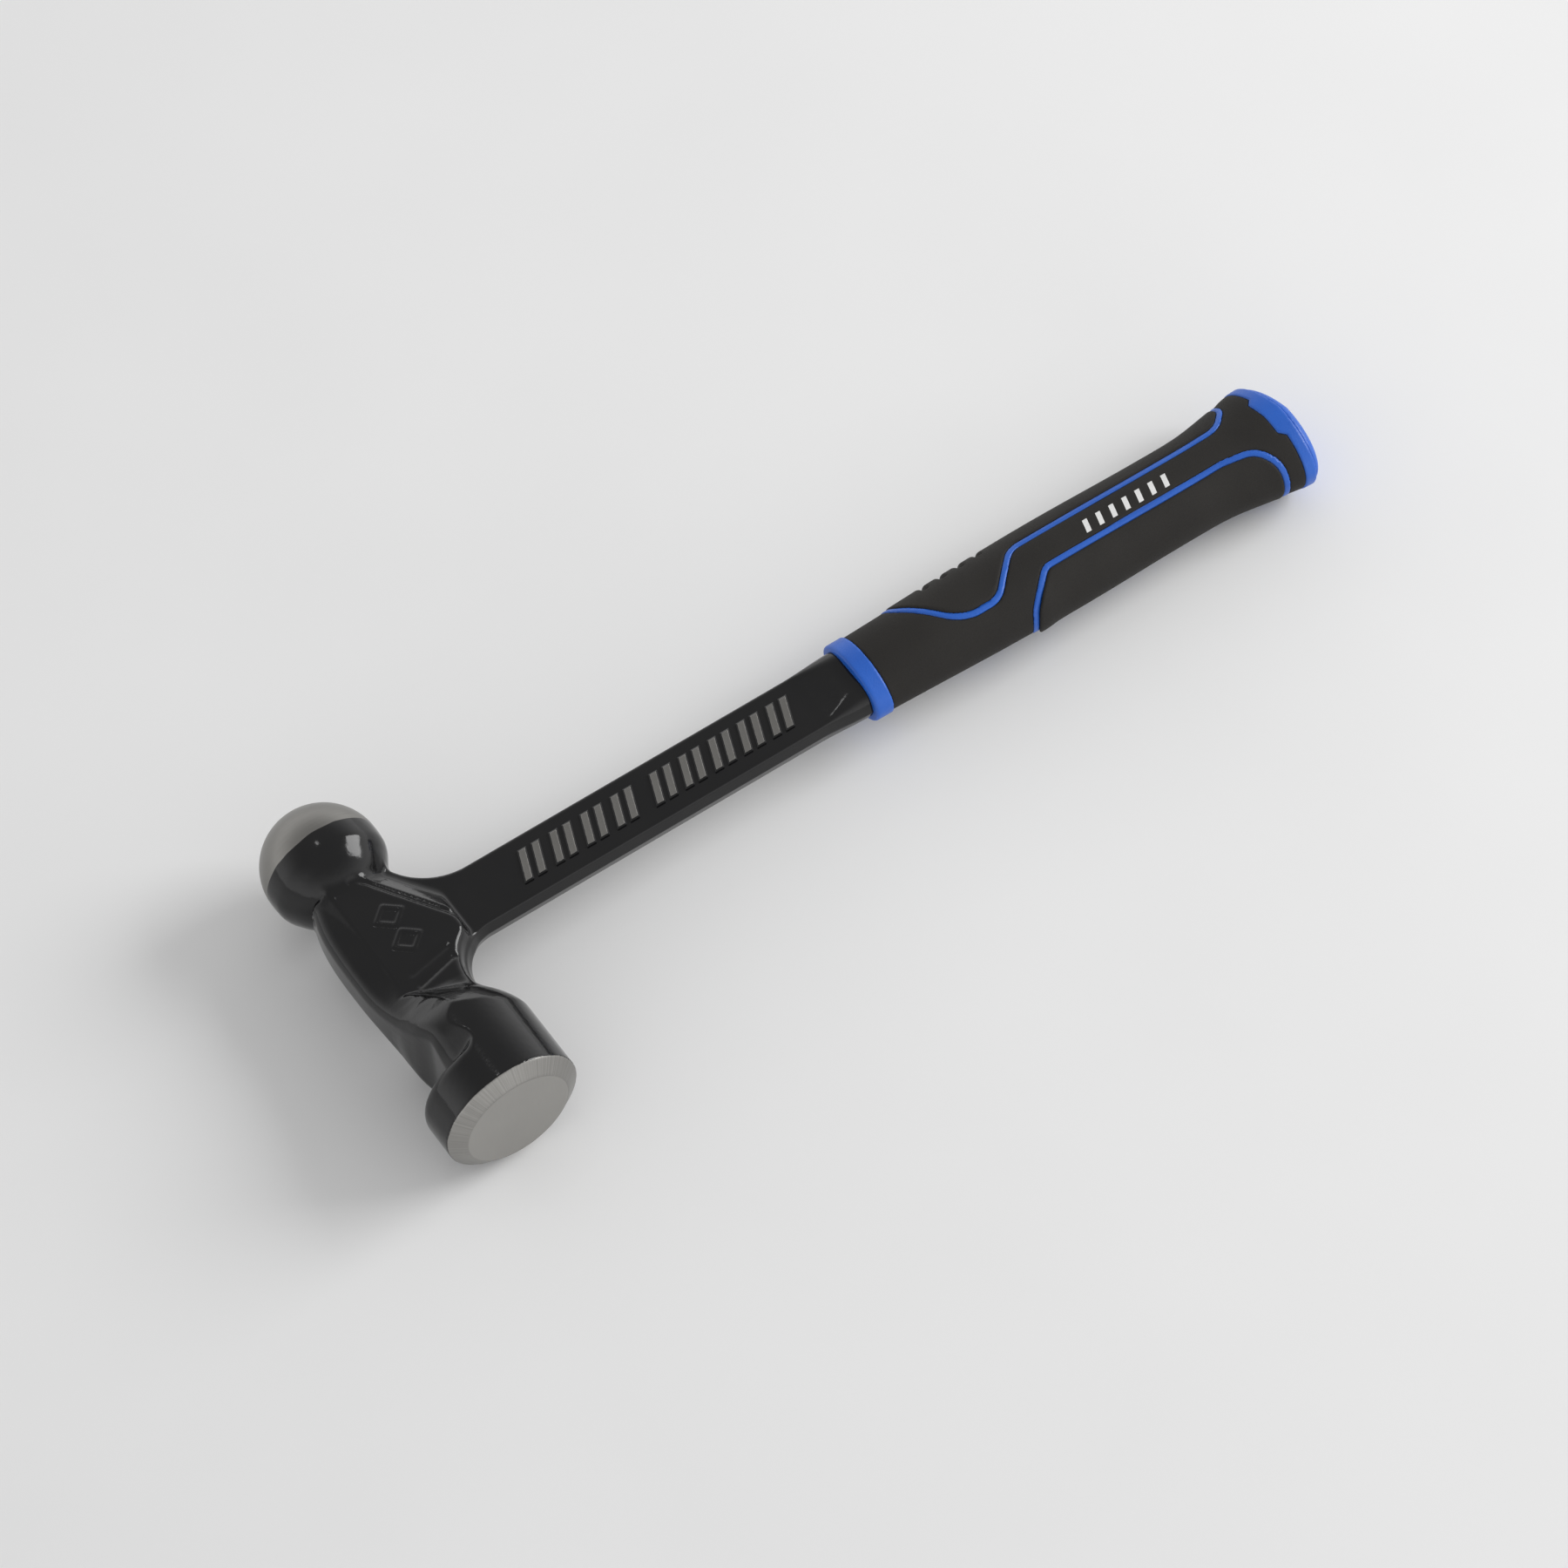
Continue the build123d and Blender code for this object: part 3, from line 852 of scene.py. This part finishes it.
def paint_material(name, mask_for):
    """Gloss black paint over steel. mask_for builds the share that is bare."""
    n = Nodes(name)
    peel = n.noise(420.0, 2.0)
    lumps = n.noise(60.0, 2.0)
    dust = n.noise(2200.0, 2.0)
    dark, light = (0.0065, 0.0065, 0.0070), (0.0085, 0.0083, 0.0086)
    paint = n.colours(n.spread(lumps, 0.3, 0.7, 0, 1), dark, light)
    paint_rough = n.spread(dust, 0.3, 0.7, 0.09, 0.14)
    steel, steel_rough, grind = steel_look(n)
    bare = mask_for(n)
    n.link(n.colours(bare, paint, steel), n.shader.inputs["Base Color"])
    n.link(n.blend(bare, paint_rough, steel_rough), n.shader.inputs["Roughness"])
    n.link(bare, n.shader.inputs["Metallic"])
    n.shader.inputs["Specular IOR Level"].default_value = 0.4
    paint_height = n.math("ADD", n.math("MULTIPLY", peel, 0.35), n.math("MULTIPLY", lumps, 0.25))
    n.bump(n.blend(bare, paint_height, n.math("MULTIPLY", grind, 0.25)), 0.00012)
    return n.material


def forging_mask(n):
    """Bare steel on the ball's outer part and on the ground striking end."""
    parts = n.split(n.place)
    wobble = n.math("MULTIPLY", n.math("SUBTRACT", n.noise(110.0, 2.0), 0.5), 0.0012)
    ball = n.spread(n.math("ADD", parts[1], wobble), 0.1044, 0.1046, 0, 1)
    small = n.math("MULTIPLY", n.math("SUBTRACT", n.noise(150.0, 2.0), 0.5), 0.0005)
    face = n.spread(n.math("ADD", parts[1], small), 0.00325, 0.0034, 1, 0)
    return n.math("MAXIMUM", ball, face)


def mark_mask(n):
    """Bare steel on the tops of the raised bars."""
    parts = n.split(n.place)
    height = n.math("ABSOLUTE", parts[2])
    worn = n.math("MULTIPLY", n.math("SUBTRACT", n.noise(900.0, 2.0), 0.5), 0.0001)
    top = (shank_half_thickness + mark_height - 0.08) * MM
    return n.spread(n.math("ADD", height, worn), top, top + 0.00003, 0, 1)


def rubber_material(name):
    n = Nodes(name)
    grain = n.noise(3200.0, 3.0)
    cloud = n.noise(45.0, 3.0)
    dark, light = (0.0165, 0.0150, 0.0135), (0.0215, 0.0197, 0.0178)
    colour = n.colours(n.spread(cloud, 0.3, 0.7, 0, 1), dark, light)
    n.link(colour, n.shader.inputs["Base Color"])
    n.link(n.spread(grain, 0.3, 0.7, 0.62, 0.76), n.shader.inputs["Roughness"])
    n.shader.inputs["Specular IOR Level"].default_value = 0.25
    n.bump(grain, 0.00006)
    return n.material


def blue_material(name):
    n = Nodes(name)
    grain = n.noise(1800.0, 2.0)
    cloud = n.noise(70.0, 3.0)
    colour = n.colours(n.spread(cloud, 0.3, 0.7, 0, 1), (0.010, 0.095, 0.47), (0.014, 0.115, 0.54))
    n.link(colour, n.shader.inputs["Base Color"])
    n.link(n.spread(grain, 0.3, 0.7, 0.34, 0.46), n.shader.inputs["Roughness"])
    n.bump(grain, 0.00004)
    return n.material


def ink_material(name):
    n = Nodes(name)
    grain = n.noise(2600.0, 2.0)
    colour = n.colours(n.spread(grain, 0.3, 0.7, 0, 1), (0.70, 0.70, 0.69), (0.80, 0.80, 0.79))
    n.link(colour, n.shader.inputs["Base Color"])
    n.link(n.spread(grain, 0.3, 0.7, 0.5, 0.65), n.shader.inputs["Roughness"])
    n.bump(grain, 0.00003)
    return n.material


forging_piece.data.materials.append(paint_material("black_paint_and_steel", forging_mask))
marks.data.materials.append(paint_material("black_paint_bare_tops", mark_mask))
blue = blue_material("blue_plastic")
rubber = rubber_material("black_rubber")
for piece in (core_piece, cap_piece):
    piece.data.materials.append(blue)
for piece in (sleeve_piece, back_piece, palm_piece):
    piece.data.materials.append(rubber)
print_piece.data.materials.append(ink_material("white_ink"))

for piece, node, slot in (
    (forging_piece, "forged_steel_body", "black_paint"),
    (core_piece, "grip_core", "blue_plastic"),
    (sleeve_piece, "grip_sleeve", "black_rubber"),
    (back_piece, "grip_back_panel", "black_rubber"),
    (palm_piece, "grip_palm_panel", "black_rubber"),
    (cap_piece, "butt_cap", "blue_plastic"),
    (marks, None, "black_paint"),
    (print_piece, None, None),
):
    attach(piece, "root")
    if node:
        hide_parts(node)

# ======================================================================
# Floor and light
# ======================================================================
floor_touch = ((0.0, -barrel_radius), (butt_x, -13.6))
floor_tilt = (floor_touch[1][1] - floor_touch[0][1]) / (floor_touch[1][0] - floor_touch[0][0])
floor_size = 4000.0
floor_gap = 0.1
floor_points = [
    (x, y, floor_touch[0][1] - floor_gap + x * floor_tilt)
    for x, y in (
        (-floor_size, -floor_size),
        (floor_size, -floor_size),
        (floor_size, floor_size),
        (-floor_size, floor_size),
    )
]
floor = mesh_object("floor", floor_points, [[0, 1, 2, 3]], smooth=False)
n = Nodes("floor_paper")
n.link(
    n.colours(n.spread(n.noise(9.0, 3.0), 0.3, 0.7, 0, 1), (0.86, 0.86, 0.86), (0.88, 0.88, 0.88)),
    n.shader.inputs["Base Color"],
)
n.shader.inputs["Roughness"].default_value = 0.9
n.shader.inputs["Specular IOR Level"].default_value = 0.2
floor.data.materials.append(n.material)


def soft_box(name, place, aim, width, height, power):
    """A rectangular area light aimed at a point, sizes in metres."""
    data = bpy.data.lights.new(name, "AREA")
    data.shape = "RECTANGLE"
    data.size = width
    data.size_y = height
    data.energy = power
    light = bpy.data.objects.new(name, data)
    scene.collection.objects.link(light)
    light.location = place
    light.rotation_euler = (Vector(aim) - Vector(place)).to_track_quat("-Z", "Y").to_euler()
    return light


middle = Vector((0.12, 0.06, 0.0))


def towards(x, y, z, distance):
    """A place that far from the middle of the hammer, in that direction."""
    return middle + Vector((x, y, z)).normalized() * distance


soft_box("key_box", towards(0.82, -0.22, 0.53, 2.4), middle, 1.4, 1.1, 34)
soft_box("window_box", towards(-0.05, 0.36, 0.935, 2.2), middle, 0.14, 0.2, 0.5)

# The room is white near the horizon and darker overhead.
world = bpy.data.worlds.new("studio")
scene.world = world
world.use_nodes = True
tree = world.node_tree
background = tree.nodes["Background"]
direction = tree.nodes.new("ShaderNodeTexCoord")
parts = tree.nodes.new("ShaderNodeSeparateXYZ")
tree.links.new(direction.outputs["Generated"], parts.inputs[0])
height = tree.nodes.new("ShaderNodeMapRange")
height.interpolation_type = "SMOOTHSTEP"
height.inputs["From Min"].default_value = 0.05
height.inputs["From Max"].default_value = 0.82
height.inputs["To Min"].default_value = 1.25
height.inputs["To Max"].default_value = 0.42
tree.links.new(parts.outputs[2], height.inputs["Value"])
background.inputs["Color"].default_value = (1, 1, 1, 1)
tree.links.new(height.outputs[0], background.inputs["Strength"])
